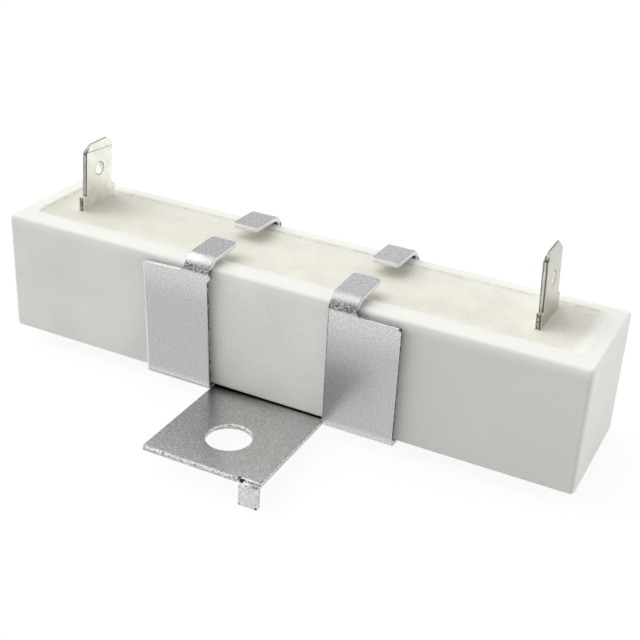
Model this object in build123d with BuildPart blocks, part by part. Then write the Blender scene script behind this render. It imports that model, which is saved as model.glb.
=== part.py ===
from build123d import *
from math import radians, tan
import os

# A wirewound power resistor potted in a long ceramic trough, held by a folded steel bracket.
# Millimetres. X runs along the trough, the bracket's screw plate points to -Y, +Z is up.
# The origin is the centre of the screw hole, on the underside of the bracket.

# Bracket sheet and its screw plate
sheet = 0.8               # thickness of the plated steel sheet
hole_diameter = 6.5       # clears an M6 screw
hole_to_case = 10.8       # hole centre to the front face of the case
hole_to_edge = 7.6        # hole centre to the front edge of the plate
shear_gap = 0.2           # slit between the plate and the leg beside it
plate_corner = 0.25       # rounding of the plate's free corner

# Locating tab, bent down at the plate's front right corner
tab_width = 2.95
tab_drop = 3.1            # reach below the underside of the plate
tab_proud = 0.45          # its outer face in front of the plate's edge
tab_bend = 0.2            # inside radius
tab_relief = 0.3          # width of the notch beside the bend
tab_corner = 0.4          # rounding of its lower corners

# Legs that clasp the case, two in front and two behind
leg_gap = 18.4            # free width between the two legs of one side
leg_width = 10.6
leg_below_rim = 0.9       # top edge of the broad part, below the rim of the case
leg_clearance = 0.3       # between a leg and the face of the case
leg_bend = 0.5            # inside radius at the foot
leg_corner = 0.5          # rounding of the outer top corner

# Hooks at the inner end of each leg, bent over the rim
hook_width = 4.2
hook_reach = 6.7          # from the face of the case to the tip
hook_gap = 0.6            # between the rim and the underside of the hook, at its bend
hook_lift = 2.0           # degrees, the hook springs back and rises towards its tip
hook_bend = 1.5           # inside radius
hook_notch = 0.9          # radius between the hook and the top edge of the leg
hook_corner = 0.6         # rounding of the tip's corners

# Ceramic case, an open trough
case_length = 90.0
case_width = 19.0
case_height = 18.6
front_wall = 3.2
back_wall = 2.1
end_wall = 2.6
floor_wall = 2.6
case_corner = 0.7         # rounding of the upright corners
case_edge = 0.5           # rounding of the rim and of the bottom edges
pocket_corner = 1.8       # rounding of the pocket's upright corners
pocket_foot = 1.0         # rounding where the pocket's walls meet its floor
rim_edge = 0.4            # rounding of the rim's inner edge

# Cement that fills the trough round the resistance element
cement_recess = 0.6       # its surface below the rim
cement_cover = 0.8        # least cement between the element and the back wall
cast_clearance = 0.03     # the cement follows the element this closely

# Resistance element: ceramic core, flat wire, pressed end caps
core_diameter = 7.4
cap_fit = 0.03            # radial clearance of a cap on the core
cap_wall = 0.5
cap_depth = 5.0           # over the cap's outside
cap_edge = 0.25           # bevel round the cap's closed end
end_margin = 6.42         # pocket end to the face of a cap, with the element centred
element_shift = -1.08     # the element is potted this far off the middle of the case
wire_thickness = 0.4
wire_width = 0.9
wire_pitch = 4.8
wire_fit = 0.05           # radial clearance of the wire on the core
wire_end_gap = 0.1        # between the wire's last turn and the cap

# Quick-connect terminals, 6.35 mm blades
blade_thickness = 0.8
blade_width = 6.35
blade_length = 8.1        # shoulder to tip
blade_lean = 3.0          # degrees, towards the middle of the case
shoulder_width = 8.1
shoulder_height = 1.7     # shoulder above the rim of the case
foot_drop = 3.2           # lower end of the terminal below the element's axis
foot_corner = 1.0
tip_chamfer = 1.1         # corners of the blade's tip
tip_bevel_height = 1.1    # the tip is thinned over this length
tip_thickness = 0.3
blade_hole_diameter = 1.9
blade_hole_to_tip = 4.4

# Places worked out from the sizes above
case_front = hole_to_case
case_back = case_front + case_width
case_middle = (case_front + case_back) / 2
case_top = sheet + case_height
pocket_front = case_front + front_wall
pocket_back = case_back - back_wall
pocket_width = pocket_back - pocket_front
pocket_length = case_length - 2 * end_wall
pocket_floor = sheet + floor_wall
cement_top = case_top - cement_recess

leg_start = leg_gap / 2
leg_end = leg_start + leg_width
leg_inside = case_front - leg_clearance
leg_top = case_top - leg_below_rim
fold_line = leg_inside + leg_bend
hook_under = case_top + hook_gap
hook_tip = case_front + hook_reach
hook_rise = (hook_tip - leg_inside) * tan(radians(hook_lift))
hook_top = hook_under + hook_rise + sheet
plate_half = leg_start - shear_gap
plate_front = -hole_to_edge
tab_face = plate_front - tab_proud
tab_fold = tab_face + tab_bend + sheet

core_radius = core_diameter / 2
cap_radius = core_radius + cap_fit + cap_wall
wire_radius = core_radius + wire_fit + wire_thickness / 2
element_radius = max(cap_radius, wire_radius + wire_thickness / 2)
element_length = pocket_length - 2 * end_margin
element_y = pocket_back - cement_cover - max(element_radius, shoulder_width / 2)
element_z = (pocket_floor + cement_top) / 2
core_length = element_length - 2 * cap_wall
winding_length = element_length - 2 * cap_depth - 2 * wire_end_gap - wire_width

shoulder_top = case_top + shoulder_height
blade_tip = shoulder_top + blade_length
foot_bottom = element_z - foot_drop

os.makedirs("parts", exist_ok=True)


def pocket_outline():
    """Plan of the trough's inside, drawn on the plane that is open."""
    with Locations((0, (pocket_front + pocket_back) / 2)):
        RectangleRounded(pocket_length, pocket_width, pocket_corner)


# Ceramic case: a pressed block, its pocket open at the top
with BuildPart() as ceramic_case:
    with BuildSketch(Plane.XY.offset(sheet)):
        with Locations((0, case_middle)):
            RectangleRounded(case_length, case_width, case_corner)
    extrude(amount=case_height)
    fillet(ceramic_case.faces().sort_by(Axis.Z)[0].edges(), case_edge)
    fillet(ceramic_case.faces().sort_by(Axis.Z)[-1].edges(), case_edge)
    with BuildSketch(Plane.XY.offset(pocket_floor)):
        pocket_outline()
    extrude(until=Until.LAST, mode=Mode.SUBTRACT)
    floor_face = ceramic_case.faces().filter_by_position(Axis.Z, pocket_floor, pocket_floor)[0]
    fillet(floor_face.edges(), pocket_foot)
    rim_face = ceramic_case.faces().sort_by(Axis.Z)[-1]
    fillet(rim_face.inner_wires().edges(), rim_edge)
ceramic_case.part.label = "ceramic_case"


# Core: the ceramic rod that carries the winding
with BuildPart() as core_rod:
    with BuildSketch(Plane.YZ.offset(element_shift - core_length / 2)):
        with Locations((element_y, element_z)):
            Circle(core_radius)
    extrude(amount=core_length)
core_rod.part.label = "core_rod"


# Winding: flat resistance wire in an open helix round the core
with BuildPart() as resistance_winding:
    with BuildLine() as turns:
        Helix(
            pitch=wire_pitch,
            height=winding_length,
            radius=wire_radius,
            center=(element_shift - winding_length / 2, element_y, element_z),
            direction=(1, 0, 0),
        )
    start = turns.line @ 0
    outward = start - Vector(start.X, element_y, element_z)
    with BuildSketch(Plane(origin=start, x_dir=outward, z_dir=turns.line % 0)):
        Rectangle(wire_thickness, wire_width)
    sweep(path=turns.line, is_frenet=True)
resistance_winding.part.label = "resistance_winding"


def end_cap(side):
    """Pressed metal cup on the core's end, with side -1 for the left one and 1 for the right."""
    outer_face = element_shift + side * element_length / 2
    with BuildPart() as cap:
        with BuildSketch(Plane.YZ.offset(outer_face)):
            with Locations((element_y, element_z)):
                Circle(cap_radius)
        extrude(amount=-side * cap_depth)
        with BuildSketch(Plane.YZ.offset(outer_face - side * cap_wall)):
            with Locations((element_y, element_z)):
                Circle(core_radius + cap_fit)
        extrude(amount=-side * (cap_depth - cap_wall), mode=Mode.SUBTRACT)
        outside = cap.faces().sort_by(Axis.X)[0 if side < 0 else -1]
        chamfer(outside.edges(), cap_edge)
    return cap.part


def terminal(side):
    """Blade, shoulders and foot stamped from one strip, flat on the cap and leaning inwards above."""
    inner_face = element_shift + side * element_length / 2
    middle = inner_face + side * blade_thickness / 2
    half = blade_thickness / 2
    bevel_start = blade_tip - tip_bevel_height

    def leaning(z):
        return middle - side * tan(radians(blade_lean)) * max(z - cement_top, 0)

    with BuildPart() as blade:
        with BuildSketch(Plane.XZ.offset(-element_y)):
            with BuildLine():
                Polyline(
                    (middle - half, foot_bottom),
                    (middle + half, foot_bottom),
                    (middle + half, cement_top),
                    (leaning(bevel_start) + half, bevel_start),
                    (leaning(blade_tip) + tip_thickness / 2, blade_tip),
                    (leaning(blade_tip) - tip_thickness / 2, blade_tip),
                    (leaning(bevel_start) - half, bevel_start),
                    (middle - half, cement_top),
                    close=True,
                )
            make_face()
        extrude(amount=shoulder_width / 2, both=True)
        with BuildSketch(Plane.YZ.offset(middle)):
            with Locations((element_y, foot_bottom)):
                Rectangle(shoulder_width, shoulder_top - foot_bottom, align=(Align.CENTER, Align.MIN))
            with Locations((element_y, foot_bottom)):
                blade_outline = Rectangle(
                    blade_width, blade_tip - foot_bottom, align=(Align.CENTER, Align.MIN)
                )
            chamfer(blade_outline.vertices().group_by(Axis.Y)[-1], tip_chamfer)
            with Locations((element_y, blade_tip - blade_hole_to_tip)):
                Circle(blade_hole_diameter / 2, mode=Mode.SUBTRACT)
        extrude(amount=blade_length, both=True, mode=Mode.INTERSECT)
        foot_edges = blade.faces().sort_by(Axis.Z)[0].edges().filter_by(Axis.X)
        fillet(foot_edges, foot_corner)
    return blade.part


# Cement: fills the pocket to just below the rim, cast round the element and the terminals' feet
with BuildPart() as cement_fill:
    with BuildSketch(Plane.XY.offset(pocket_floor)):
        pocket_outline()
    extrude(amount=cement_top - pocket_floor)
    fillet(cement_fill.faces().sort_by(Axis.Z)[0].edges(), pocket_foot)
    with BuildSketch(Plane.YZ.offset(element_shift)):
        with Locations((element_y, element_z)):
            Circle(element_radius + cast_clearance)
    extrude(amount=element_length / 2 + cast_clearance, both=True, mode=Mode.SUBTRACT)
    with BuildSketch(Plane.XY.offset(cement_top)):
        with Locations((element_shift, element_y)):
            with GridLocations(element_length + blade_thickness, 0, 2, 1):
                Rectangle(blade_thickness + 2 * cast_clearance, shoulder_width + 2 * cast_clearance)
    extrude(amount=foot_bottom - cast_clearance - cement_top, mode=Mode.SUBTRACT)
cement_fill.part.label = "cement_fill"


# The bracket's legs: one is a strip folded up from the base and over the rim, trimmed to its
# outline seen from the front; the others are its mirror images
with BuildPart() as legs:
    with BuildSketch(Plane.YZ.offset(leg_start)):
        with BuildLine():
            FilletPolyline(
                (hook_tip, hook_under + hook_rise),
                (leg_inside, hook_under),
                (leg_inside, sheet),
                (case_middle, sheet),
                radius=[hook_bend, leg_bend],
            )
            offset(amount=sheet, side=Side.RIGHT)
        make_face()
    extrude(amount=leg_width)
    with BuildSketch(Plane.XZ.offset(-case_middle)) as leg_outline:
        with BuildLine():
            Polyline(
                (leg_start, 0),
                (leg_end, 0),
                (leg_end, leg_top),
                (leg_start + hook_width, leg_top),
                (leg_start + hook_width, hook_top),
                (leg_start, hook_top),
                close=True,
            )
        make_face()
        fillet(leg_outline.vertices().group_by(Axis.X)[1].sort_by(Axis.Y)[0], hook_notch)
        fillet(leg_outline.vertices().group_by(Axis.X)[-1].sort_by(Axis.Y)[-1], leg_corner)
    extrude(amount=case_width, both=True, mode=Mode.INTERSECT)
    tip_face = legs.faces().filter_by(lambda face: face.center().Z > case_top).sort_by(Axis.Y)[-1]
    fillet(tip_face.edges().sort_by(SortBy.LENGTH)[:2], hook_corner)
    mirror(about=Plane.XZ.offset(-case_middle))
    mirror(about=Plane.YZ)


# The whole bracket: base and screw plate in one sheet, the tab bent down at the plate's corner
with BuildPart() as mounting_bracket:
    with BuildSketch() as flat_sheet:
        with Locations((0, case_middle)):
            Rectangle(leg_gap, 2 * (case_middle - fold_line))
        with Locations((0, plate_front)):
            Rectangle(2 * plate_half, fold_line - plate_front, align=(Align.CENTER, Align.MIN))
        with Locations((plate_half, plate_front)):
            Rectangle(
                tab_width + tab_relief,
                tab_fold - plate_front,
                align=(Align.MAX, Align.MIN),
                mode=Mode.SUBTRACT,
            )
        Circle(hole_diameter / 2, mode=Mode.SUBTRACT)
        fillet(flat_sheet.vertices().group_by(Axis.Y)[0].sort_by(Axis.X)[0], plate_corner)
    extrude(amount=sheet)
    with BuildSketch(Plane.YZ.offset(plate_half)):
        with BuildLine():
            FilletPolyline(
                (tab_fold + tab_bend + sheet, sheet),
                (tab_face, sheet),
                (tab_face, -tab_drop),
                radius=tab_bend + sheet,
            )
            offset(amount=sheet, side=Side.LEFT)
        make_face()
    extrude(amount=-tab_width)
    fillet(mounting_bracket.faces().sort_by(Axis.Z)[0].edges().filter_by(Axis.Y), tab_corner)
    add(legs.part)
mounting_bracket.part.label = "mounting_bracket"

for side, name in ((-1, "left"), (1, "right")):
    cap = end_cap(side)
    cap.label = "end_cap_" + name
    export_step(cap, "parts/end_cap_" + name + ".step")
    blade = terminal(side)
    blade.label = "terminal_" + name
    export_step(blade, "parts/terminal_" + name + ".step")

export_step(ceramic_case.part, "parts/ceramic_case.step")
export_step(core_rod.part, "parts/core_rod.step")
export_step(resistance_winding.part, "parts/resistance_winding.step")
export_step(cement_fill.part, "parts/cement_fill.step")
export_step(mounting_bracket.part, "parts/mounting_bracket.step")
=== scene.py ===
# %% [markdown]
# # A chassis mount resistor
# A long ceramic trough holds a wound resistance element, sealed in cement. Two tinned blades stand out
# of the cement, and a folded steel bracket clasps the trough and carries the screw plate. The solids
# come ready made from a CAD model, in metres and in their final places. This lesson gives them what a
# solid lacks: rolled edges on the sheet metal, an uneven cement surface, and a finish for every piece.

# %% Load the solids
import math

import bmesh
import bpy
from mathutils import Matrix, Quaternion, Vector, noise
from mathutils.bvhtree import BVHTree


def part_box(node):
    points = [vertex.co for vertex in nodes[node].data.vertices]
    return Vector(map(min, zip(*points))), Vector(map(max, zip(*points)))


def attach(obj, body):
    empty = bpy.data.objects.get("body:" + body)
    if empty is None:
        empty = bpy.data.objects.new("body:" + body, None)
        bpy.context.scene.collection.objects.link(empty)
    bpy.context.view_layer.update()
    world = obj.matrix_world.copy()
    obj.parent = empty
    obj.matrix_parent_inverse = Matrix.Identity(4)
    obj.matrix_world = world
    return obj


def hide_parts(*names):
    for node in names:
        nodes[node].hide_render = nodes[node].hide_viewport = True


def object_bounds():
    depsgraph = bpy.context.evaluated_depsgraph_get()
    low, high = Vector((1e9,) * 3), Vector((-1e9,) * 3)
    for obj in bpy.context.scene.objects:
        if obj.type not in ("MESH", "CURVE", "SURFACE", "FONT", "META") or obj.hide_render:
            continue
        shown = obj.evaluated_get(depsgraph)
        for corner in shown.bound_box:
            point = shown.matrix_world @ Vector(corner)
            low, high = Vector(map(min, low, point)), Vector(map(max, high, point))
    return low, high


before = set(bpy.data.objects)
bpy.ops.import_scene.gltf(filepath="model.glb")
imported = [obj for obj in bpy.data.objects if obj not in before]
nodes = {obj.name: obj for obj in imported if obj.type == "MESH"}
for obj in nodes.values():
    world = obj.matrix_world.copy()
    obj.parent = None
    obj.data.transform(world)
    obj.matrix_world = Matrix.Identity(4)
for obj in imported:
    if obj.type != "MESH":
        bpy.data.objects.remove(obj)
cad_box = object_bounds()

mm = 0.001


def in_mm(*corners):
    return [[round(c / mm, 2) for c in corner] for corner in corners]


print("solids:", ", ".join(sorted(nodes)))
print("box in mm:", in_mm(*cad_box))

# %% [markdown]
# ## The camera
# The reference photograph was taken with a long lens from above the right front of the part, with the
# camera turned a little about its own axis. A place, two angles, the turn and the lens say all of it.
# The angles are kept as angles rather than as a point to look at, because they can then be compared
# with any other view of the part.

# %% The camera
camera_place = Vector((68.3, -117.9, 90.2)) * mm
camera_azimuth = math.radians(25.25)
camera_elevation = math.radians(27.51)
camera_turn = math.radians(3.17)
camera_lens = 66.95
camera_clip = (1 * mm, 10.0)


def towards(azimuth, elevation):
    """The direction from the part to a viewer or a lamp. Azimuth 0 is in front, at -Y, and 90 at +X."""
    level = math.cos(elevation)
    return Vector((math.sin(azimuth) * level, -math.cos(azimuth) * level, math.sin(elevation)))


def make_camera():
    lens = bpy.data.cameras.new("photo_camera")
    lens.lens = camera_lens
    lens.clip_start, lens.clip_end = camera_clip
    camera = bpy.data.objects.new("photo_camera", lens)
    level = (-towards(camera_azimuth, camera_elevation)).to_track_quat("-Z", "Y")
    camera.rotation_mode = "QUATERNION"
    camera.rotation_quaternion = level @ Quaternion((0, 0, 1), camera_turn)
    camera.location = camera_place
    bpy.context.scene.collection.objects.link(camera)
    bpy.context.scene.camera = camera
    return camera


camera = make_camera()
print("lens", round(camera.data.lens, 2), "mm, at", in_mm(camera.location), "mm")

# %% [markdown]
# ## Shader maths in Python
# A finish is a network of nodes, and networks are hard to read as long lists of links. Two small classes
# let the rest of the file say what it means. A Field stands for one output socket, and sums, products and
# powers of fields add the Math nodes that work them out. A Graph adds every other kind of node through
# one method: first the node's own settings, then a value or a field for each socket.

# %% A field is one socket that can be used in sums
def maths(operation, swapped=False):
    """An operator that adds a Math node. Swapped is for a field on the right, as in 1 - mask."""
    def operator(field, other=0.0):
        sockets = {0: other, 1: field} if swapped else {0: field, 1: other}
        return field.graph.node("ShaderNodeMath", {"operation": operation}, sockets)
    return operator


class Field:
    """One output socket of a graph."""

    def __init__(self, graph, socket):
        self.graph, self.socket = graph, socket

    __add__ = __radd__ = maths("ADD")
    __mul__ = __rmul__ = maths("MULTIPLY")
    __sub__, __rsub__ = maths("SUBTRACT"), maths("SUBTRACT", swapped=True)
    __pow__, __abs__ = maths("POWER"), maths("ABSOLUTE")
    at_least, at_most = maths("MAXIMUM"), maths("MINIMUM")

    def rise(self, low, high):
        """0 below low and 1 above high, or the other way round where low is the larger."""
        start, end, first, last = (low, high, 0.0, 1.0) if low < high else (high, low, 1.0, 0.0)
        sockets = {"Value": self, "From Min": start, "From Max": end, "To Min": first, "To Max": last}
        return self.graph.node("ShaderNodeMapRange", {"interpolation_type": "SMOOTHSTEP"}, sockets)

    def span(self, start, end):
        """1 after one rise and before another, such as (0, 1) and (9, 8), and 0 outside both."""
        return self.rise(*start) * self.rise(*end)

    def line(self, middle, outer, inner):
        """1 within inner of a middle value, and 0 beyond outer."""
        return abs(self - middle).rise(outer, inner)

    def between(self, low, high):
        """Low where the field is 0, and high where it is 1."""
        return self * (high - low) + low


# %% A graph adds all other nodes through one method
class Graph:
    """A node tree, emptied, and the method that fills it."""

    def __init__(self, tree):
        self.tree = tree
        tree.nodes.clear()

    def node(self, kind, settings=None, sockets=None, output=0):
        """Adds a node of a kind. A socket takes a field or a plain value."""
        made = self.tree.nodes.new(kind)
        for name, value in (settings or {}).items():
            setattr(made, name, value)
        for key, value in (sockets or {}).items():
            if isinstance(value, Field):
                self.tree.links.new(value.socket, made.inputs[key])
            else:
                made.inputs[key].default_value = value
        return Field(self, made.outputs[output]) if made.outputs else made


# %% [markdown]
# ## The studio
# The part lies the way it comes to rest when it isn't screwed down: on its rear fold and on the tip of
# the locating tab, so the floor under it leans a little. The floor could be a plain white diffuse sheet,
# but then it would have to be overlit to look white. Instead, what the camera and the reflections see of
# it is part diffuse, which keeps the shadow, and part a glow that brings the rest up to white.

# %% The floor
rest_lean = math.radians(4.8)
floor_half = 1.5
floor_colour = (0.8, 0.8, 0.8, 1.0)
shadow_colour = (0.12, 0.12, 0.12, 1.0)
floor_glow = 0.9


def seen_directly(graph, *names):
    """1 for a ray of one of the named kinds, such as Is Camera Ray."""
    share = 0.0
    for name in names:
        share = graph.node("ShaderNodeLightPath", output=name) + share
    return share.at_most(1.0)


def make_floor():
    """Lays the floor against the lowest point of the bracket, and returns its height."""
    up = Vector((0, -math.sin(rest_lean), math.cos(rest_lean)))
    lowest = min(up.dot(v.co) for v in nodes["mounting_bracket"].data.vertices)
    sheet = bmesh.new()
    bmesh.ops.create_grid(sheet, x_segments=1, y_segments=1, size=floor_half)
    bmesh.ops.rotate(sheet, verts=sheet.verts, matrix=Matrix.Rotation(rest_lean, 3, "X"))
    bmesh.ops.translate(sheet, verts=sheet.verts, vec=up * lowest)
    data = bpy.data.meshes.new("floor")
    sheet.to_mesh(data)
    sheet.free()
    paint = bpy.data.materials.new("floor")
    paint.use_nodes = True
    graph = Graph(paint.node_tree)
    lit = graph.node("ShaderNodeBsdfDiffuse", {}, {"Color": floor_colour})
    shadow = graph.node("ShaderNodeBsdfDiffuse", {}, {"Color": shadow_colour})
    glow = graph.node("ShaderNodeEmission", {}, {"Strength": floor_glow})
    white = graph.node("ShaderNodeAddShader", {}, {0: shadow, 1: glow})
    direct = seen_directly(graph, "Is Camera Ray", "Is Glossy Ray", "Is Transmission Ray")
    look = graph.node("ShaderNodeMixShader", {}, {0: direct, 1: lit, 2: white})
    graph.node("ShaderNodeOutputMaterial", {}, {"Surface": look})
    data.materials.append(paint)
    floor = bpy.data.objects.new("floor", data)
    bpy.context.scene.collection.objects.link(floor)
    return lowest


print("floor", round(-make_floor() / mm, 2), "mm under the screw hole, measured square to it")

# %% [markdown]
# The light comes from the world itself, painted as soft patches on a dark room. A key patch stands high
# on the left and throws the shadows to the right, weaker ones fill in from both sides and from behind,
# and the front of the room stays dark. Lamps near the part would do the same, but a patch at infinity
# lights every point alike, so nothing depends on the size of the floor. What each piece of bare metal
# shows is one of these patches: the tops of the hooks show the rear, the leg on the left the front left.

# %% Light from all round
room_light = 0.04
patch_reach, patch_edge = 25, 20
light_patches = {
    "key": (-90, 58, 1.8),
    "left": (-90, 30, 1.1),
    "low left": (-90, 4, 0.5),
    "low front left": (-60, 8, 1.35),
    "front left": (-40, 28, 0.45),
    "front right": (45, 17, 0.3),
    "low right": (90, 4, 1.1),
    "right": (90, 30, 0.5),
    "rear right": (135, 17, 0.85),
    "rear": (180, 30, 0.72),
    "rear left": (-135, 30, 0.35),
    "high front": (0, 58, 0.2),
    "overhead": (0, 88, 0.45),
}
backdrop_top = math.sin(math.radians(16))
backdrop_edge = math.sin(math.radians(10))
backdrop_colour = (1.0, 1.0, 1.0, 1.0)


def light_room():
    """The patches light the part. Straight to the camera, and low in a reflection, all is white."""
    world = bpy.data.worlds.new("studio")
    world.use_nodes = True
    graph = Graph(world.node_tree)
    direction = graph.node("ShaderNodeTexCoord", output="Generated")
    low, high = (math.cos(math.radians(patch_reach + edge)) for edge in (patch_edge, -patch_edge))
    light = room_light
    for azimuth, elevation, strength in light_patches.values():
        sockets = {0: direction, 1: towards(math.radians(azimuth), math.radians(elevation))}
        facing = graph.node("ShaderNodeVectorMath", {"operation": "DOT_PRODUCT"}, sockets, "Value")
        light = facing.rise(low, high) * strength + light
    height = graph.node("ShaderNodeSeparateXYZ", {}, {0: direction}, "Z")
    mirrored = seen_directly(graph, "Is Glossy Ray", "Is Transmission Ray")
    mirrored = mirrored * height.rise(backdrop_top, backdrop_edge)
    direct = seen_directly(graph, "Is Camera Ray").at_least(mirrored)
    room = graph.node("ShaderNodeBackground", {}, {"Strength": light})
    backdrop = graph.node("ShaderNodeBackground", {}, {"Color": backdrop_colour, "Strength": 1.0})
    look = graph.node("ShaderNodeMixShader", {}, {0: direct, 1: room, 2: backdrop})
    graph.node("ShaderNodeOutputWorld", {}, {"Surface": look})
    bpy.context.scene.world = world


light_room()
bpy.context.scene.view_settings.view_transform = "Standard"
print(len(light_patches), "soft patches of light")

# %% [markdown]
# ## Starting a finish
# Every finish starts with a material and the place on the part in millimetres, and ends with one
# Principled shader. The place comes from the object's own coordinates, because they stay put in every
# view and need no unwrapping. A Finish is a Graph that also makes what finishes share: noise, colours
# laid over each other, and relief.

# %% A finish is the graph of one material
class Finish(Graph):
    """The graph of a new material."""

    def __init__(self, name):
        self.material = bpy.data.materials.new(name)
        self.material.use_nodes = True
        super().__init__(self.material.node_tree)
        metres = self.node("ShaderNodeTexCoord", output="Object")
        sockets = {"Vector": metres, "Scale": 1 / mm}
        self.place = self.node("ShaderNodeVectorMath", {"operation": "SCALE"}, sockets)

    def parts(self, axes, vector=None):
        """The named parts of the place, or of another vector, as fields."""
        sockets = {0: vector or self.place}
        return [self.node("ShaderNodeSeparateXYZ", {}, sockets, axis) for axis in axes]

    def turned(self, axis):
        """How far the surface faces along an axis: 1 along it, 0 square to it, -1 against it."""
        return self.parts(axis, self.node("ShaderNodeNewGeometry", output="Normal"))[0]

    def attribute(self, name):
        """A number that the mesh code has left on each point."""
        return self.node("ShaderNodeAttribute", {"attribute_name": name}, {}, "Fac")

    def spots(self, size, detail=2.0, roughness=0.5, place=None):
        """Soft noise from 0 to 1, with blotches about size millimetres across."""
        sockets = {"Vector": place or self.place, "Scale": 1 / size}
        return self.node("ShaderNodeTexNoise", {}, {**sockets, "Detail": detail, "Roughness": roughness})

    def mix(self, share, first, second):
        """The first colour where share is 0, and the second where it is 1."""
        return self.node("ShaderNodeMix", {"data_type": "RGBA"}, {0: share, 6: first, 7: second}, 2)

    def layers(self, colour, *others):
        """A colour and others laid over it, each with the mask that is 1 where it shows."""
        for mask, over in others:
            colour = self.mix(mask, colour, over)
        return colour

    def relief(self, *waves):
        """Waves on top of each other, each a height from 0 to 1 and its size in millimetres."""
        below = {}
        for height, size in waves:
            sockets = {"Height": height, "Distance": size * mm, "Strength": 1.0}
            below = {"Normal": self.node("ShaderNodeBump", {}, {**sockets, **below})}
        return below["Normal"]

    def done(self, **sockets):
        """Adds the shader and returns the material. A socket's name is written with _ for a space."""
        named = {socket.replace("_", " "): value for socket, value in sockets.items()}
        look = self.node("ShaderNodeBsdfPrincipled", {}, named)
        self.node("ShaderNodeOutputMaterial", {}, {"Surface": look})
        return self.material


# %% [markdown]
# Dirt, wear, painted light and painted shade have their own places on a part. A mask is a field that is
# 1 in such a place and 0 elsewhere. It could be painted on by hand, but masks worked out from the
# position and from the way the surface faces are exact, and they can be multiplied, joined, or turned
# round with 1 - mask.

# %% Masks
front_turn = (-0.7, -0.95)
dab_waver, dab_edge = 0.4, (1.4, 0.9)
speck_share, speck_core, speck_choice = 0.6, 0.4, 0.01


def facing_front(graph):
    """1 on what faces the front, which is along -Y."""
    return graph.turned("Y").rise(*front_turn)


def near(graph, points, reach):
    """1 in ragged dabs round the points, each of about that reach."""
    share = 0.0
    uneven = graph.spots(size=dab_waver) * reach
    for point in points:
        sockets = {0: graph.place, 1: point}
        gap = graph.node("ShaderNodeVectorMath", {"operation": "DISTANCE"}, sockets, "Value")
        share = (gap + uneven).rise(*(edge * reach for edge in dab_edge)) + share
    return share.at_most(1.0)


def specks(graph, spacing, size, share):
    """Small points, one in a share of the cells of a random lattice."""
    sockets = {"Vector": graph.place, "Scale": 1 / spacing}
    cell = graph.node("ShaderNodeTexVoronoi", {}, sockets, "Distance")
    chance = graph.node("ShaderNodeTexVoronoi", {}, sockets, "Color")
    chance = graph.node("ShaderNodeSeparateColor", {}, {0: chance}, "Red")
    picked = chance.rise(share + speck_choice, share)
    return cell.rise(size / spacing, speck_core * size / spacing) * picked * speck_share


# %% [markdown]
# ## Pressed ceramic
# The trough is pressed from ceramic powder and fired. It is an off-white, slightly green body, dull but
# not rough, with a grain finer than sand and now and then a dark speck that burnt out of the clay.
# Painted light makes it paler towards the upper edge and on the right end. Painted shade turns the
# groove between its rounded lower edge and the screw plate near black, and makes the front a shade
# darker on both sides of the bracket, most on the right.

# %% The colours of ceramic
ceramic_colour = (0.9, 0.908, 0.86, 1.0)
ceramic_shade = (0.76, 0.767, 0.715, 1.0)
painted_light_colour = (0.94, 0.945, 0.9, 1.0)
painted_front_shade_colour = (0.68, 0.687, 0.645, 1.0)
speck_colour = (0.38, 0.36, 0.3, 1.0)
shade_and_spot_colour = (0.02, 0.02, 0.018, 1.0)
cloud_share, mottle_contrast = 0.3, (0.39, 0.61)


def mottled(graph, cloud, grain, dark, light, share=cloud_share, contrast=mottle_contrast):
    """A tone that wavers between two colours, with the cloud by a share and with the grain by the rest."""
    tint = cloud * share + grain * (1 - share)
    return graph.mix(tint.rise(*contrast), dark, light)


# %% Pressed ceramic
groove_top, groove_edge = 1.02, 0.1
plate_half, plate_edge = 9.6, 0.3
lit_rim, lit_rim_share = (2.0, 0.0), 0.7
lit_end, lit_end_share = (0.4, 0.1), 0.5
right_front_shade, right_front_shade_share = (8.0, 22.0), 0.8
left_front_shade, left_front_shade_share = (-12.0, -24.0), 0.2
ceramic_roughness, ceramic_ior = (0.5, 0.65), 1.5


def pressed_ceramic(name):
    graph = Finish(name)
    x, z = graph.parts("XZ")
    cloud = graph.spots(size=9.0)
    grain = graph.spots(size=0.22, detail=3.0, roughness=0.7)
    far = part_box("ceramic_case")[1] / mm
    # painted shade: the front is darkened towards both ends of the trough, most towards the right
    front_shade = x.rise(*right_front_shade) * right_front_shade_share + x.rise(*left_front_shade) * left_front_shade_share
    # painted shade: near black along the lower edge, over the width of the screw plate
    groove = z.rise(groove_top + groove_edge, groove_top - groove_edge)
    groove = groove * abs(x).rise(plate_half + plate_edge, plate_half - plate_edge)
    colour = graph.layers(
        mottled(graph, cloud, grain, ceramic_shade, ceramic_colour),
        (front_shade * facing_front(graph), painted_front_shade_colour),
        # painted light: the right end face and the top two millimetres are made paler
        ((far.x - x).rise(*lit_end) * lit_end_share, painted_light_colour),
        ((far.z - z).rise(*lit_rim) * lit_rim_share, painted_light_colour),
        (specks(graph, spacing=3.5, size=0.14, share=0.3), speck_colour),
        (groove, shade_and_spot_colour),
    )
    relief = graph.relief((cloud, 0.03), (grain, 0.01))
    roughness = grain.between(*ceramic_roughness)
    return graph.done(Base_Color=colour, Roughness=roughness, IOR=ceramic_ior, Normal=relief)


nodes["ceramic_case"].material_slots[0].material = pressed_ceramic("case_ceramic")
nodes["core_rod"].material_slots[0].material = pressed_ceramic("core_ceramic")
print("ceramic on the case and on the core rod")
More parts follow.
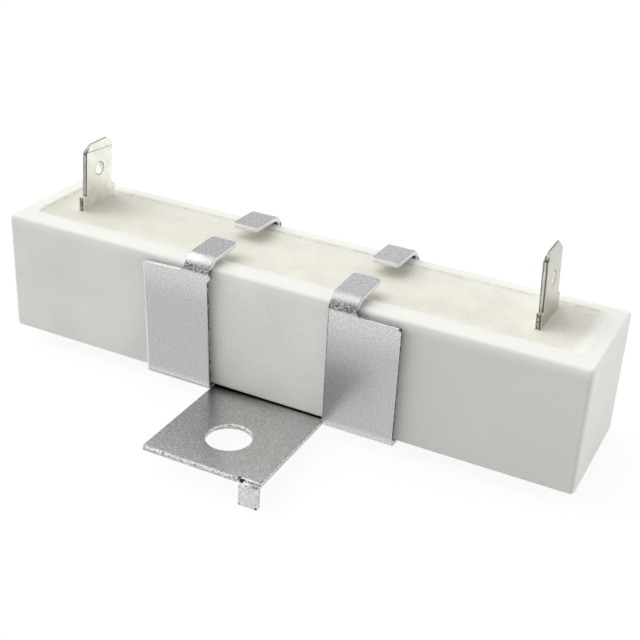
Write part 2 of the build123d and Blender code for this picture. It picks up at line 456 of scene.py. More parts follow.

# %% [markdown]
# ## Potting cement
# The cement is poured in wet, levelled, and dries to a warm cream colour. It is duller and sandier than
# the trough and holds more dark grains. It is darker at the left end, and rusty blots show at the right
# one. Where it was wiped over the rim the film is so thin that the ceramic shows through, so the colour
# fades to that of the ceramic. Along the back and the left end a thin brown line comes and goes where
# the cement has shrunk off the wall. The attribute inside, which the mesh code sets, is the distance
# from the pocket's outline in millimetres.

# %% Potting cement
cement_colour = (0.9, 0.875, 0.79, 1.0)
cement_shade = (0.77, 0.75, 0.665, 1.0)
left_end_colour, left_end_zone, left_end_share = (0.73, 0.715, 0.63, 1.0), (15.0, 3.0), 0.6
rust_colour, rust_zone, rust_share = (0.74, 0.66, 0.5, 1.0), (9.0, 3.0), 0.6
stain_colour, stain_reach, stain_share = (0.56, 0.5, 0.37, 1.0), (0.7, 0.0), 0.6
rust_contrast, stain_contrast = (0.62, 0.75), (0.4, 0.66)
wall_zone = (0.8, 0.3)
film_reach, film_waver = (0.0, 3.0), 1.2
cement_roughness, cement_ior = (0.68, 0.83), 1.45


def potting_cement():
    graph = Finish("potting_cement")
    x, y = graph.parts("XY")
    inside = graph.attribute("inside")
    low, high = (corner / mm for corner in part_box("cement_fill"))
    cloud = graph.spots(size=5.0, detail=3.0)
    sand = graph.spots(size=0.24, detail=3.0, roughness=0.75)
    left_end = (x - low.x).rise(*left_end_zone)
    at_wall = (x - low.x).rise(*wall_zone).at_least((high.y - y).rise(*wall_zone))
    thick = (graph.spots(size=1.6) * film_waver + inside).rise(*film_reach).at_least(at_wall)
    stain = graph.spots(size=1.5, detail=4.0, roughness=0.7).rise(*stain_contrast)
    stain = stain * inside.rise(*stain_reach) * at_wall
    rust = graph.spots(size=0.9, detail=3.0).rise(*rust_contrast)
    rust = rust * (high.x - x).rise(*rust_zone) * thick
    colour = graph.layers(
        mottled(graph, cloud, sand, cement_shade, cement_colour),
        (left_end * left_end_share, left_end_colour),
        (1 - thick, ceramic_colour),
        (stain * stain_share, stain_colour),
        (rust * rust_share, rust_colour),
        (specks(graph, spacing=1.9, size=0.13, share=0.22), speck_colour),
    )
    relief = graph.relief((cloud, 0.05), (sand, 0.018))
    roughness = sand.between(*cement_roughness)
    return graph.done(Base_Color=colour, Roughness=roughness, IOR=cement_ior, Normal=relief)


# %% [markdown]
# ## Plated sheet steel
# The bracket is tin plated steel, semi-matt with a fine grain, and painted shade darkens the fronts of
# its legs. The plating is crazed where a bend starts, because there it stretched the most, and the upper
# half of each hook's bend is darker. These masks find the bends by their height and by how far the
# surface has turned up. On the left hook the darkening fades towards its left side.

# %% The plating and its bends
sheet_colour = (0.77, 0.77, 0.776, 1.0)
sheet_shade = (0.49, 0.49, 0.494, 1.0)
leg_shade_and_bend_colour = (0.32, 0.32, 0.323, 1.0)
crazed_colour = (0.06, 0.058, 0.054, 1.0)
sheet_contrast = (0.26, 0.74)
leg_shade_foot, leg_shade_top, leg_shade_share = (1.0, 2.0), (18.5, 13.0), (0.34, 0.54)
hook_craze, hook_craze_turn, craze_waver = (18.85, 19.25), (0.88, 0.6), (0.5, 0.3)
tab_craze, tab_turn_start, tab_turn_end = (-6.3, -6.6), (0.7, 0.8), (0.98, 0.93)
hook_dark, hook_dark_start, hook_dark_end = (18.4, 18.6), (0.45, 0.65), (0.998, 0.96)
burr_face_band = (-1.0, 0.04)


def through(graph, band, edge=0.03):
    """1 where the depth in the sheet lies in a band, in millimetres."""
    low, high = band
    return graph.attribute("depth").span((low - edge, low + edge), (high + edge, high - edge))


def plating(graph, grain):
    """The grain of the plating, and painted shade on the fronts of the legs."""
    height = graph.parts("Z")[0]
    leg_front_shade = facing_front(graph) * height.span(leg_shade_foot, leg_shade_top) * grain.between(*leg_shade_share)
    metal = graph.mix(grain.rise(*sheet_contrast), sheet_shade, sheet_colour)
    return graph.mix(leg_front_shade, metal, leg_shade_and_bend_colour)


def crazed_bends(graph, uneven):
    """1 on the outside of the hooks' bends and of the tab's bend, where they start."""
    y, z = graph.parts("YZ")
    up = graph.turned("Z")
    hooks = (z + uneven * craze_waver[0]).rise(*hook_craze)
    hooks = hooks * (up + uneven * craze_waver[1]).rise(*hook_craze_turn)
    tab = y.rise(*tab_craze) * up.span(tab_turn_start, tab_turn_end)
    return (hooks * through(graph, burr_face_band)).at_least(tab)


def darker_bends(graph):
    """1 on the upper half of the hooks' bends."""
    height = graph.parts("Z")[0]
    return height.rise(*hook_dark) * graph.turned("Z").span(hook_dark_start, hook_dark_end)


# %% [markdown]
# Across the thickness of a cut edge the look changes from the burr, which has a painted highlight in a
# near-white that is barely metal, through a dark torn band to a paler land and the rolled shoulder of the
# drawn side. The attribute depth, which the mesh code sets, tells where on that way a point lies: 0 mm on
# the burr side and 0.8 mm on the drawn side. On the hooks the painted highlight of the burr is wider, and
# a line of painted shade follows it where the bend begins.

# %% The burr and the torn metal
burr_highlight_colour = (0.95, 0.95, 0.94, 1.0)
torn_and_shade_colour = (0.04, 0.038, 0.034, 1.0)
land_colour = (0.8, 0.8, 0.79, 1.0)
land_band, edge_band = (0.42, 0.74), (0.05, 0.76)
torn_band, torn_hook_band, edge_shade_band = (0.14, 0.46), (0.3, 0.54), (0.02, 0.24)
burr_band, burr_hook_band, burr_root_band = (0.04, 0.1), (0.04, 0.4), (0.04, 0.76)
crisp = 0.02
torn_dashes, torn_hook_dashes = (0.42, 0.5), (0.3, 0.4)
edge_shade_dashes, line_dashes = (0.25, 0.35), (0.3, 0.5)
hook_foot, hook_root_end, bend_end = (18.2, 18.4), (18.9, 18.6), (19.8, 19.4)
edge_shade_start, edge_shade_end = (18.5, 18.7), (19.7, 19.4)
leg_foot, torn_least, left_hook_torn = (0.8, 2.0), 0.3, (-13.0, -11.0)
left_leg_edge, left_lean, lean_height, left_line = -19.7, 0.038, 6.0, (0.16, 0.08)
line_foot, left_line_top = (1.0, 1.6), (18.6, 18.4)


def torn_metal_and_edge_shade(graph, dashes):
    """1 in the torn bands of the legs and hooks, and in a line of painted shade beside the burr where the
    bend begins.
    """
    x, z = graph.parts("XZ")
    on_hook = z.rise(*hook_foot)
    off_hook = 1 - on_hook
    low = through(graph, torn_band) * dashes.rise(*torn_dashes) * off_hook
    low = low * (z.rise(*leg_foot) * off_hook).between(torn_least, 1.0)
    high = through(graph, torn_hook_band) * dashes.rise(*torn_hook_dashes)
    high = high * on_hook * z.rise(*bend_end) * x.rise(*left_hook_torn)
    # painted shade: a dark line beside the burr where the hooks' bends begin
    edge_shade = through(graph, edge_shade_band, crisp) * dashes.rise(*edge_shade_dashes) * z.span(edge_shade_start, edge_shade_end)
    return (low + high).at_least(edge_shade)


def painted_burr_highlight(graph, dashes):
    """1 where a highlight is painted: on the burr, and on the left edge of the leg that leans."""
    x, z = graph.parts("XZ")
    on_hook = z.rise(*hook_foot)
    legs = through(graph, burr_band, crisp) * dashes.rise(*line_dashes)
    hooks = through(graph, burr_hook_band, crisp) * on_hook
    roots = through(graph, burr_root_band, crisp) * on_hook * z.rise(*hook_root_end)
    edge = (x + (z - lean_height) * left_lean).line(left_leg_edge, *left_line)
    edge = edge * z.span(line_foot, left_line_top) * facing_front(graph)
    return legs.at_least(hooks).at_least(roots).at_least(edge)


# %% [markdown]
# Painted shade darkens the screw plate along the groove under the case, fading forwards, more on its
# left. Painted shade also fills the notch beside the tab, and dark dabs sit on the tab's corners and at
# the top corner of the front right leg. Painted shade makes a dark line down the inner edge of that leg.

# %% Painted shade and dark dabs on the sheet
plate_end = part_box("ceramic_case")[0].y / mm
plate_level, plate_skin = 0.8, (0.1, 0.05)
plate_shade_edge, plate_shade_reach, plate_shade_side, plate_shade_least = 0.1, 4.2, (6.0, -9.0), 0.2
dark_dabs = (
    # the first pair is painted shade in the notch beside the tab; the other dabs are dark spots
    ([(6.15, -7.62, 0.62), (6.5, -7.62, 0.62)], 0.42),
    ([(6.25, -8.05, -2.85), (8.85, -8.05, -2.85)], 0.3),
    ([(19.7, 9.9, 18.5)], 0.5),
)
outlined_edge, outline_edge, outline_top, outline_share = 9.28, (0.14, 0.07), (19.0, 18.0), 0.75


def plate_shade(graph):
    """Painted shade: 1 on the plate along the case, fading forwards."""
    x, y, z = graph.parts("XYZ")
    groove = y.rise(plate_end - plate_shade_edge, plate_end + plate_shade_edge)
    fading = y.rise(plate_end - plate_shade_reach, plate_end) ** 2.0
    fading = fading * x.rise(*plate_shade_side).between(plate_shade_least, 1.0)
    return (groove + fading).at_most(1.0) * z.line(plate_level, *plate_skin)


def leg_edge_shade(graph, dashes):
    """Painted shade: 1 along the inner edge of the front right leg."""
    x, z = graph.parts("XZ")
    line = x.line(outlined_edge, *outline_edge) * z.span(line_foot, outline_top)
    return line * facing_front(graph) * dashes.rise(*line_dashes) * outline_share


# %% Plated sheet steel
left_hook_dark, hook_dark_share = (-12.0, -10.0), (0.25, 0.6)
crack_contrast, crack_share = (0.42, 0.56), (0.2, 0.9)
fleck_contrast, fleck_share = (0.52, 0.62), 0.8
sheet_roughness, worn_roughness, highlight_dullness = (0.2, 0.3), 0.1, 0.8


def plated_sheet():
    graph = Finish("plated_bracket")
    x, z = graph.parts("XZ")
    grain = graph.spots(size=0.18, detail=1.0)
    dents = graph.spots(size=4.0, detail=1.0)
    pits = graph.spots(size=0.13, detail=2.0, roughness=0.6)
    dashes = graph.spots(size=0.55, detail=3.0, roughness=0.7)
    cracks = graph.spots(size=0.22, detail=2.0, roughness=0.6).rise(*crack_contrast)
    flecks = graph.spots(size=0.3, detail=2.0, roughness=0.6).rise(*fleck_contrast)
    upper, bends = darker_bends(graph), crazed_bends(graph, dashes)
    land, burr = through(graph, land_band), painted_burr_highlight(graph, dashes)
    colour = graph.layers(
        plating(graph, grain),
        # darker on the upper half of the hooks' bends, less on the left of the left hook
        (upper * x.rise(*left_hook_dark).between(*hook_dark_share), leg_shade_and_bend_colour),
        (bends * cracks.between(*crack_share), crazed_colour),
        # painted shade along the inner edge of the front right leg
        (leg_edge_shade(graph, dashes), torn_and_shade_colour),
        (land, land_colour),
        (land * flecks * (1 - z.rise(*hook_foot)) * fleck_share, torn_and_shade_colour),
        # painted highlight on the burr and on the left edge of the leaning leg
        (burr, burr_highlight_colour),
        # torn metal, and the painted shade beside the burr at the hooks' bends
        (torn_metal_and_edge_shade(graph, dashes), torn_and_shade_colour),
        # painted shade on the plate along the case
        (plate_shade(graph), shade_and_spot_colour),
        *((near(graph, points, reach), shade_and_spot_colour) for points, reach in dark_dabs),
    )
    pitted = through(graph, edge_band).at_least(bends)
    relief = graph.relief((dents, 0.015), (grain, 0.004), (pits * pitted, 0.08))
    roughness = grain.between(*sheet_roughness) + pitted.at_least(upper) * worn_roughness
    # the painted highlight is made barely metal
    dull = 1 - burr * highlight_dullness
    return graph.done(Base_Color=colour, Roughness=roughness, Metallic=dull, Normal=relief)


# %% [markdown]
# ## Tinned blades
# The blades are stamped from brass strip and tinned. The tin is paler than the plating on the bracket
# and softer, with faint cloudy patches, and painted shade darkens the right blade. The die drags along
# the cut edges and leaves lines that run the length of the strip, so the noise there is squeezed across
# the thickness and stretched along it. Dark lines border the cut on both sides and the hole, and painted
# shade makes a dark line along the fold where the bevel of the tip starts. Painted light makes the wall
# of the hole pale. The tops of the shoulders are clean and bright.

# %% Where the blade is cut, pierced and folded
blade_middle, hole_radius, foot_top = (22.67, 24.8), 0.95, 21.2
flat_turn, up_turn = (0.85, 0.95), (0.6, 0.8)
cut_from_hole, ring_round_hole, wall_of_hole = (0.12, 0.2), (0.09, 0.08, 0.04), (0.03, 0.01)
shoulder_zone, pitted_zone = (1.5, 1.0), (0.4, 0.0)
bevel_start, bevel_drift, bevel_line = 28.1, 0.08, (0.13, 0.06)
bevel_side = blade_middle[0] - 2.0


def blade_masks(graph):
    """The cut edges, the shoulders' tops, the hole's ring and wall, and the fold of the bevel."""
    y, z = graph.parts("YZ")
    from_middle = abs(y - blade_middle[0]) ** 2.0 + abs(z - blade_middle[1]) ** 2.0
    from_hole = from_middle**0.5 - hole_radius
    flat = abs(graph.turned("X")).rise(*flat_turn)
    tops = graph.turned("Z").rise(*up_turn) * (z - foot_top).rise(*shoulder_zone)
    cut = from_hole.rise(*cut_from_hole) * (1 - flat) * (1 - tops)
    ring, wall = from_hole.line(*ring_round_hole), from_hole.rise(*wall_of_hole)
    fold = ((y - bevel_side) * bevel_drift + z).line(bevel_start, *bevel_line) * flat
    return cut, tops, ring, wall, fold


# %% Tinned blades
tin_colour = (0.98, 0.975, 0.895, 1.0)
tin_shade = (0.8, 0.795, 0.72, 1.0)
shaded_tin_colour = (0.51, 0.508, 0.46, 1.0)
lit_wall_colour = (0.9, 0.88, 0.8, 1.0)
drag_and_shade_colour = (0.1, 0.095, 0.085, 1.0)
drag_stretch, drag_contrast, drag_share = (1.0, 1.0, 0.07), (0.64, 0.4), 0.45
tin_cloud_share, tin_contrast, tin_roughness = 0.5, (0.35, 0.65), (0.28, 0.38)
to_right, to_left = (-9.0, 9.0), (9.0, -9.0)
cut_band, drawn_line, burr_line = (0.04, 0.74), (0.5, 0.72), (0.06, 0.22)
burr_line_share, line_contrast, line_share = 0.7, (0.2, 0.4), 0.9
pit_contrast, pit_share = (0.48, 0.56), 0.8
fold_contrast, fold_right, fold_share = (0.3, 0.5), 0.3, 0.55
right_blade_shade_share, edge_shine, worn_left, ring_share = 0.75, 0.8, (0.05, 0.25), 0.8
lit_wall_dullness, top_dullness = 0.8, 0.5
bevel_marks, mark_reach = [(34.8, 19.6, 28.2), (34.5, 19.9, 28.6), (-36.9, 19.5, 27.95)], 0.33


def tinned_blade():
    graph = Finish("tinned_terminal")
    x, z = graph.parts("XZ")
    cut, tops, ring, wall, fold = blade_masks(graph)
    cloud = graph.spots(size=1.5, detail=3.0)
    grain = graph.spots(size=0.2, detail=3.0, roughness=0.6)
    sockets = {0: graph.place, 1: drag_stretch}
    along = graph.node("ShaderNodeVectorMath", {"operation": "MULTIPLY"}, sockets)
    drag = graph.spots(size=0.2, detail=3.0, roughness=0.7, place=along)
    edge = through(graph, cut_band) * cut
    lines = through(graph, drawn_line).at_least(through(graph, burr_line) * burr_line_share) * cut
    lines = lines * graph.spots(size=0.4, place=along).rise(*line_contrast)
    pitted = edge * (z - foot_top).rise(*pitted_zone) * graph.spots(size=0.35).rise(*pit_contrast)
    # painted shade: a dark line along the fold where the tip's bevel starts
    fold = fold * x.rise(*to_left).between(fold_right, 1.0)
    fold = fold * graph.spots(size=0.5).rise(*fold_contrast)
    worn = drag.rise(*drag_contrast) * drag_share + x.rise(*to_left).between(*worn_left)
    colour = graph.layers(
        mottled(graph, cloud, grain, tin_shade, tin_colour, tin_cloud_share, tin_contrast),
        # painted shade on the right blade, less on its cut edges
        (x.rise(*to_right) * (1 - edge * edge_shine) * right_blade_shade_share, shaded_tin_colour),
        (edge * worn, drag_and_shade_colour),
        (lines * line_share, drag_and_shade_colour),
        (pitted * pit_share, drag_and_shade_colour),
        (ring * ring_share, drag_and_shade_colour),
        (fold * fold_share, drag_and_shade_colour),
        (near(graph, bevel_marks, mark_reach), drag_and_shade_colour),
        # painted light on the wall of the hole, in a pale colour
        (wall, lit_wall_colour),
    )
    relief = graph.relief((cloud, 0.015), (grain, 0.004), (drag * edge, 0.03))
    roughness = cloud.between(*tin_roughness) + edge * worn_roughness
    # the wall's painted light is made barely metal
    dull = 1 - (wall * lit_wall_dullness).at_least(tops * top_dullness)
    return graph.done(Base_Color=colour, Roughness=roughness, Metallic=dull, Normal=relief)


# %% [markdown]
# ## What the cement hides
# The element's wire and end caps are never seen, unless the part is taken apart. They still get a
# finish of their own: drawn wire and pressed caps, each with a fine even grain.

# %% Drawn wire and pressed caps
wire_colour, wire_shade = (0.52, 0.5, 0.47, 1.0), (0.38, 0.36, 0.33, 1.0)
cap_colour, cap_shade = (0.62, 0.62, 0.62, 1.0), (0.52, 0.52, 0.52, 1.0)
bare_roughness = (0.3, 0.5)


def bare_metal(name, light, dark, size):
    graph = Finish(name)
    grain = graph.spots(size, detail=4.0)
    tone = graph.mix(grain.rise(*tin_contrast), dark, light)
    roughness, relief = grain.between(*bare_roughness), graph.relief((grain, 0.01))
    return graph.done(Base_Color=tone, Roughness=roughness, Metallic=1.0, Normal=relief)


wire_finish = bare_metal("resistance_wire", wire_colour, wire_shade, size=0.3)
cap_finish = bare_metal("cap_steel", cap_colour, cap_shade, size=0.5)
nodes["resistance_winding"].material_slots[0].material = wire_finish
for side in ("left", "right"):
    nodes["end_cap_" + side].material_slots[0].material = cap_finish
print("hidden finishes:", wire_finish.name, "and", cap_finish.name)

# %% [markdown]
# ## Sheet metal and its cut edges
# A punch draws one side of the sheet down with it and leaves a burr on the other. On a photograph that
# shows as a soft shoulder on the drawn side and a thin bright line on the burr side, with torn metal
# between the two. A bevel modifier would round both sides alike, so a welded copy of the solid is worked
# on instead. First its faces are sorted: a face is a cut one where the metal behind it is deeper than
# the sheet is thick, and a walk over the other faces, which can't cross a cut one, finds the drawn side.

# %% Sort the faces of a sheet
sheet_thickness = 0.8 * mm
weld_gap = 0.0001 * mm
cut_depth = 1.5 * sheet_thickness
cut_face, drawn_face, burr_face = 1, 2, 3


def welded(node):
    """A copy of the node's mesh in which points at one place are one point."""
    mesh = bmesh.new()
    mesh.from_mesh(nodes[node].data)
    bmesh.ops.remove_doubles(mesh, verts=mesh.verts, dist=weld_gap)
    return mesh


def is_cut(face, behind):
    """True where there is more metal behind the face than the sheet is thick."""
    start = face.calc_center_median() - face.normal * weld_gap
    depth = behind.ray_cast(start, -face.normal)[3] or 0.0
    return depth > cut_depth


def sort_faces(mesh, drawn_point):
    """Sets the face layer kind. The face nearest to drawn_point is on the drawn side."""
    kind = mesh.faces.layers.int.new("kind")
    behind = BVHTree.FromBMesh(mesh)
    for face in mesh.faces:
        face[kind] = cut_face if is_cut(face, behind) else burr_face
    mesh.faces.ensure_lookup_table()
    walk = [mesh.faces[behind.find_nearest(drawn_point)[2]]]
    while walk:
        face = walk.pop()
        if face[kind] == burr_face:
            face[kind] = drawn_face
            walk += [beside for edge in face.edges for beside in edge.link_faces]
    return kind


# %% [markdown]
# Bevels then shape the edges: a wide one on the drawn side, narrower round the screw hole, and a narrow
# one on the burr side. The finish also has to know how deep in the sheet a point lies, so each point
# keeps its distance from the burr side as an attribute, 0 on that side and 0.8 mm on the other.

# %% Shape the edges and measure the depth
flat_angle = math.radians(0.1)
round_profile = 0.5
shoulder_steps, hole_steps, burr_steps = 4, 3, 3


def burr_side(mesh, kind):
    """A search tree of the burr side alone."""
    faces = [[v.index for v in f.verts] for f in mesh.faces if f[kind] == burr_face]
    return BVHTree.FromPolygons([v.co.copy() for v in mesh.verts], faces)


def shape_edges(mesh, kind, side, width, steps, chosen=lambda edge: True):
    """Bevels the chosen edges between the cut faces and one side of the sheet."""
    edges = [e for e in mesh.edges if {f[kind] for f in e.link_faces} == {cut_face, side} and chosen(e)]
    bmesh.ops.bevel(
        mesh, geom=edges, offset=width, offset_type="OFFSET", segments=steps, profile=round_profile,
        affect="EDGES", clamp_overlap=False,
    )


def sheared(mesh, drawn_point, shoulder, burr, pierced=0.0, pierced_shoulder=0.0):
    """Rolls the drawn side's edges by shoulder and breaks the burr side's by burr. A hole round the
    origin with a radius under pierced is rolled less."""
    def in_hole(edge):
        return all(v.co.xy.length < pierced for v in edge.verts)

    mesh.verts.index_update()
    kind = sort_faces(mesh, drawn_point)
    from_burr = burr_side(mesh, kind)
    bmesh.ops.dissolve_limit(mesh, angle_limit=flat_angle, verts=mesh.verts, edges=mesh.edges)
    shape_edges(mesh, kind, drawn_face, pierced_shoulder, hole_steps, in_hole)
    shape_edges(mesh, kind, drawn_face, shoulder, shoulder_steps, lambda edge: not in_hole(edge))
    shape_edges(mesh, kind, burr_face, burr, burr_steps)
    depth = mesh.verts.layers.float.new("depth")
    for v in mesh.verts:
        v[depth] = from_burr.find_nearest(v.co)[3] / mm


# %% From a mesh to a piece of the part
fold_angle = math.radians(60)
long_edge = 3 * mm


def make_piece(mesh, name, node, finish, long_fold=fold_angle):
    """Folds over fold_angle stay crisp, and so do long straight ones over long_fold. A bevel's points
    can end up a thousandth of a millimetre too far out, and are put back inside the part's own box."""
    for v in mesh.verts:
        v.co = [min(max(c, low), high) for c, low, high in zip(v.co, *cad_box)]
    for edge in mesh.edges:
        limit = long_fold if edge.calc_length() > long_edge else fold_angle
        edge.smooth = edge.calc_face_angle(0.0) < limit
    for face in mesh.faces:
        face.smooth = True
    data = bpy.data.meshes.new(name)
    mesh.to_mesh(data)
    mesh.free()
    data.materials.append(finish)
    piece = bpy.data.objects.new(name, data)
    bpy.context.scene.collection.objects.link(piece)
    flat = piece.modifiers.new("flat_faces", "WEIGHTED_NORMAL")
    flat.weight, flat.keep_sharp = 100, True
    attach(piece, "root")
    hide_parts(node)
    print(name, len(data.polygons), "faces")


# %% [markdown]
# No bracket leaves the press quite true. The front left leg of this one leans over by two degrees, seen
# from the front, while its hook stands straight, and so a small step shows where the two meet. Sliding
# the leg's points sideways by their height does it. The two cuts through the leg first keep the slide
# from reaching the hook.

# %% Lean the front left leg
leg_lean = math.radians(2.2)
lean_pivot, lean_foot = 6 * mm, 2 * mm
leg_box = (Vector((-20, 9, 0)) * mm, Vector((-9.1, 10.6, 19)) * mm)
step_heights = (17.6 * mm, 18.1 * mm)
hook_edge = -14.4 * mm


def in_leg(co):
    return all(low <= c <= high for low, c, high in zip(leg_box[0], co, leg_box[1]))


def lean_leg(mesh):
    """Slides the leg's points sideways. Under lean_foot the slide fades out, so the fold stays in line."""
    for height in step_heights:
        faces = [f for f in mesh.faces if all(in_leg(v.co) for v in f.verts)]
        parts = [{v for f in faces for v in f.verts}, {e for f in faces for e in f.edges}, faces]
        geometry = [item for part in parts for item in part]
        bmesh.ops.bisect_plane(mesh, geom=geometry, plane_co=(0, 0, height), plane_no=(0, 0, 1))
    slope = math.tan(leg_lean)
    for v in mesh.verts:
        if in_leg(v.co) and (v.co.z < step_heights[0] + weld_gap or v.co.x < hook_edge):
            x, y, z = v.co
            grip = min(z / lean_foot, 1.0)
            drop = slope * min(x - hook_edge, 0.0) * z / step_heights[1]
            v.co = (x + slope * (lean_pivot - z) * grip, y, z + drop * grip)


# %% The bracket
bracket_shoulder = 0.22 * mm
bracket_burr = 0.12 * mm
hole_reach = 3.5 * mm
hole_shoulder = 0.08 * mm
plate_top = Vector((0, -5, 0.8)) * mm

bracket = welded("mounting_bracket")
lean_leg(bracket)
sheared(bracket, plate_top, bracket_shoulder, bracket_burr, hole_reach, hole_shoulder)
make_piece(bracket, "bracket_sheet", "mounting_bracket", plated_sheet())

# %% The blades
blade_shoulder = 0.1 * mm
blade_burr = 0.04 * mm
bevel_fold = math.radians(8)

tin = tinned_blade()
for side in ("left", "right"):
    low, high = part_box("terminal_" + side)
    blade = welded("terminal_" + side)
    outer_face = Vector((high.x, (low.y + high.y) / 2, (low.z + high.z) / 2))
    sheared(blade, outer_face, blade_shoulder, blade_burr)
    make_piece(blade, "blade_" + side, "terminal_" + side, tin, bevel_fold)

# %% [markdown]
# ## The cement's surface
# Wet cement creeps up what it touches and sinks a little between, and nobody levels it exactly. Along
# the front and the right end it has been wiped over the rim, where it ends in a feather edge. Along the
# back and the left end it stops at the wall and leaves a fine crease. The skin is therefore laid in
# rings that follow the pocket's outline: a grid fills the middle, and each ring steps outwards from it,
# over the rim, and back under to the wall. The body of the cement below stays the solid's own.

# %% The outline in rings
pocket_corner = 1.8 * mm
rim_rounding = 0.4 * mm
grid_step = 0.5 * mm
arc_steps = 8
cement_low, cement_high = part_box("cement_fill")
pocket_middle = (cement_low + cement_high) / 2
rim_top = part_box("ceramic_case")[1].z
core_x, core_y = ((cement_high[axis] - cement_low[axis]) / 2 - pocket_corner for axis in (0, 1))
count_x, count_y = (round(2 * half / grid_step) for half in (core_x, core_y))


def core_point(i, j):
    """The place of a point of the grid, at the height of the pocket's middle."""
    return Vector((core_x * (2 * i / count_x - 1), core_y * (2 * j / count_y - 1), 0)) + pocket_middle


def perimeter():
    """The grid's border, anticlockwise, as (i, j, angle of the way out)."""
    sides = [
        [(i, 0) for i in range(count_x + 1)],
        [(count_x, j) for j in range(count_y + 1)],
        [(i, count_y) for i in range(count_x, -1, -1)],
        [(0, j) for j in range(count_y, -1, -1)],
    ]
    for turn, side in enumerate(sides):
        for i, j in side:
            yield i, j, math.radians(90 * turn - 90)
        for step in range(1, arc_steps):
            yield *side[-1], math.radians(90 * (turn + step / arc_steps) - 90)


border = list(perimeter())
print("cement skin:", count_x, "by", count_y, "cells,", len(border), "points round them")

# %% [markdown]
# The height is a sum of what the cement does: it climbs to the rim, creeps up the blades, sinks in
# between, and waves. Where it is wiped over the rim it lies as a film on the rim's rounded edge.

# %% Where it was wiped over the rim
wipe_middle, wipe_contrast = math.radians(-45), 0.9


def smooth(value):
    """A soft step from 0 to 1, as value goes from 0 to 1."""
    value = min(max(value, 0.0), 1.0)
    return value * value * (3 - 2 * value)


def ripple(point, size):
    """Noise round 0 that varies in plan, with waves about size long."""
    return noise.noise(Vector((point.x, point.y, 0)) / size)


def wiped(angle):
    """1 on the sides where the cement was wiped over the rim, 0 where it stops at the wall."""
    return smooth(0.5 + wipe_contrast * math.cos(angle - wipe_middle))


def rim_height(inside):
    """Top of the trough's wall at a distance inside the pocket, which is negative over the wall."""
    across = min(max(rim_rounding + inside, 0.0), rim_rounding)
    return rim_top - rim_rounding + math.sqrt(rim_rounding**2 - across**2)


# %% How high the cement stands
bare_climb = 0.85
film = 0.006 * mm
climb_width = 1.6 * mm
end_climb_width = 2.6 * mm
end_zone = 4 * mm
creep_height = 0.16 * mm
creep_reach = 0.45 * mm
sink_depth = 0.1 * mm
sink_reach = 3.0 * mm
unevenness = 0.05 * mm
wave_size, ripple_size, ripple_share = 4 * mm, 1.3 * mm, 0.5
dish_place = Vector((40.4, 24.6, 0)) * mm
dish_depth = 0.28 * mm
dish_reach = 2.0 * mm
crease_depth = 0.1 * mm
crease_width = 0.22 * mm
crease_bank = 0.1 * mm
bank_width = 0.8 * mm
blade_boxes = [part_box("terminal_" + side) for side in ("left", "right")]


def gap_to_box(point, low, high):
    """Distance in plan from a point to a box, 0 inside it."""
    return math.hypot(*(max(low[axis] - point[axis], point[axis] - high[axis], 0.0) for axis in (0, 1)))


def cement_height(point, inside, share):
    """The cement's height, which is the wiped one by share and the one against the wall by the rest."""
    blade = min(gap_to_box(point, *box) for box in blade_boxes)
    creep = creep_height * math.exp(-blade / creep_reach)
    sink = sink_depth * (1 - math.exp(-min(max(inside, 0.0), blade) / sink_reach))
    wave = unevenness * (ripple(point, wave_size) + ripple_share * ripple(point, ripple_size))
    near_end = smooth((point.x - cement_high.x + end_zone) / (end_zone / 2))
    width = climb_width + (end_climb_width - climb_width) * near_end
    climb = (rim_top - cement_high.z) * smooth((width - inside) / (width + rim_rounding))
    crease = crease_depth * math.exp(-((inside / crease_width) ** 2))
    crease -= crease_bank * math.exp(-((inside / bank_width) ** 2))
    dish = dish_depth * math.exp(-(((point.xy - dish_place.xy).length / dish_reach) ** 2))
    level = cement_high.z + creep - sink - dish + wave * smooth(inside / mm)
    against_wall = level + bare_climb * climb - crease
    over_rim = level + climb
    if inside < 0:
        over_rim = max(over_rim, rim_height(inside) + film)
    return share * over_rim + (1 - share) * against_wall


# %% [markdown]
# Each ring is a row of points, and quads join it to the next. The last row lies on the wall at the top
# of the cement's body, and one flat face closes the skin there. The top of the body moves down to meet it.

# %% The grid in the middle
def lay_grid(mesh, inside_layer):
    """A grid of points at the cement's height, with a face between each four."""
    grid = {}
    for i in range(count_x + 1):
        for j in range(count_y + 1):
            at = core_point(i, j)
            gaps = [(at[axis] - cement_low[axis], cement_high[axis] - at[axis]) for axis in (0, 1)]
            inside = min(map(min, gaps))
            angle = math.atan2(at.y - pocket_middle.y, at.x - pocket_middle.x)
            at.z = cement_height(at, inside, wiped(angle))
            grid[i, j] = mesh.verts.new(at)
            grid[i, j][inside_layer] = inside / mm
    for i in range(count_x):
        for j in range(count_y):
            mesh.faces.new([grid[i, j], grid[i + 1, j], grid[i + 1, j + 1], grid[i, j + 1]])
    return grid


# %% The rings round it
body_drop = 0.7 * mm
inner_shares = (0.15, 0.35, 0.55, 0.7, 0.82, 0.91, 0.97)
outer_shares = (0.0, 0.12, 0.25, 0.42, 0.6, 0.8, 1.0)
wipe_reach, bare_reach = 0.95 * mm, 0.12 * mm
reach_middle, reach_waver, reach_size = 0.85, 0.5, 5 * mm
under_rim = [
    (pocket_corner + rim_rounding, rim_top),
    (pocket_corner, rim_top - rim_rounding),
    (pocket_corner, cement_high.z - body_drop),
]


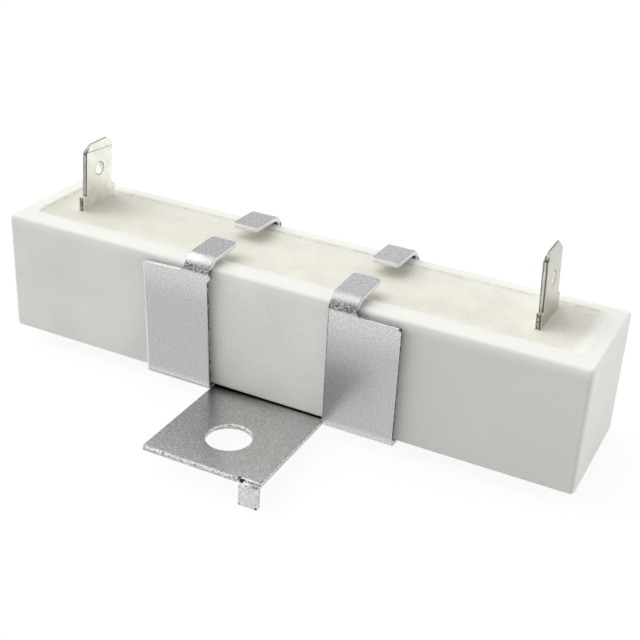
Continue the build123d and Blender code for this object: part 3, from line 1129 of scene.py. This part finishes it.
def wiped_reaches():
    """How far the cement was wiped over the rim, for each point of the border."""
    reaches = []
    for i, j, angle in border:
        uneven = reach_middle + reach_waver * ripple(core_point(i, j), reach_size)
        reaches.append(max(wipe_reach * uneven * wiped(angle), bare_reach))
    return reaches


def lay_rings(mesh, inside_layer, grid):
    """Rows of points from the grid's border out to the feather edge, and back under it to the wall."""
    def row(offsets, heights):
        made = []
        for (i, j, angle), offset, height in zip(border, offsets, heights):
            at = core_point(i, j) + Vector((math.cos(angle), math.sin(angle), 0)) * offset
            inside = pocket_corner - offset
            at.z = cement_height(at, inside, wiped(angle)) if height is None else height
            made.append(mesh.verts.new(at))
            made[-1][inside_layer] = inside / mm
        return made

    reaches = wiped_reaches()
    own_heights = [None] * len(border)
    rows = [[grid[i, j] for i, j, angle in border]]
    rows += [row([pocket_corner * share] * len(border), own_heights) for share in inner_shares]
    for share in outer_shares:
        rows.append(row([pocket_corner + reach * share for reach in reaches], own_heights))
    for v, reach in zip(rows[-1], reaches):
        v.co.z = min(v.co.z, rim_height(-reach) - film)
    for offset, height in under_rim:
        offsets = [min(offset, pocket_corner + reach) for reach in reaches]
        rows.append(row(offsets, [min(height, above.co.z - film / 2) for above in rows[-1]]))
    return rows


# %% Join the rings and close the cement
def join_rows(mesh, rows):
    """Quads between the rows, or triangles at a corner, and one face that closes the last row."""
    for inner, outer in zip(rows, rows[1:]):
        for here in range(len(border)):
            there = (here + 1) % len(border)
            corners = [inner[here], outer[here], outer[there], inner[there]]
            corners = [v for turn, v in enumerate(corners) if v not in corners[:turn]]
            if len(corners) > 2:
                mesh.faces.new(corners)
    mesh.faces.new(rows[-1][::-1])


cement = welded("cement_fill")
bmesh.ops.dissolve_limit(cement, angle_limit=flat_angle, verts=cement.verts, edges=cement.edges)
for v in cement.verts:
    if v.co.z > cement_high.z - weld_gap:
        v.co.z -= body_drop
inside_layer = cement.verts.layers.float.new("inside")
grid = lay_grid(cement, inside_layer)
join_rows(cement, lay_rings(cement, inside_layer, grid))
make_piece(cement, "cement_surface", "cement_fill", potting_cement())
